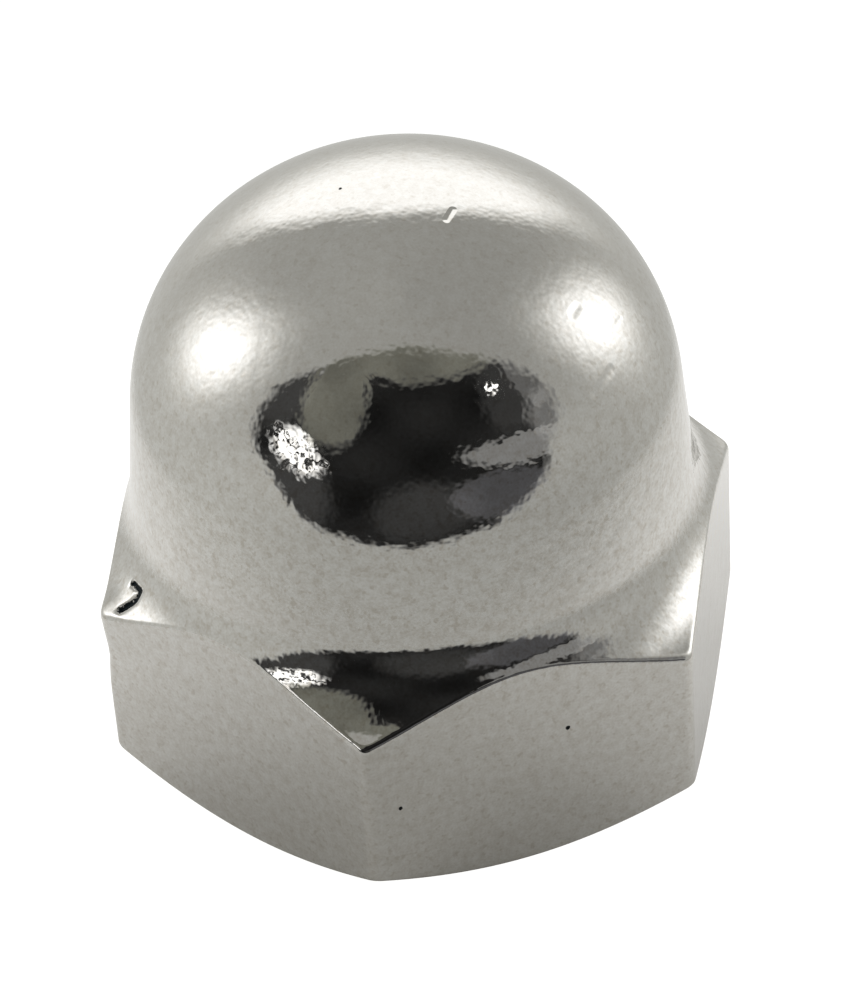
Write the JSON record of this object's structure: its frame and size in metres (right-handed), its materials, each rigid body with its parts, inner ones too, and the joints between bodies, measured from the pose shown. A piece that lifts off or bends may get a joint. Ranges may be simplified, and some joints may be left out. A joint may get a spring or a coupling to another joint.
{
  "type": "cap nut",
  "caption": "One-piece plated cap nut: a hexagon with a hollow shoulder, a tall domed blind end and a threaded hole from below.",
  "frame": {"origin": "centre of the flat bearing face, on the hole's axis", "axes": "+Z along the hole's axis towards the crown of the dome; two of the hexagon's flats are square to X, and two of its corners point along Y"},
  "size_m": [0.0128, 0.0146, 0.0136],
  "materials": {
    "chrome_plate": "polished chrome plating with a faint ripple and small pits"
  },
  "bodies": {
    "root": {"cap_nut": "chrome_plate"}
  },
  "joints": []
}
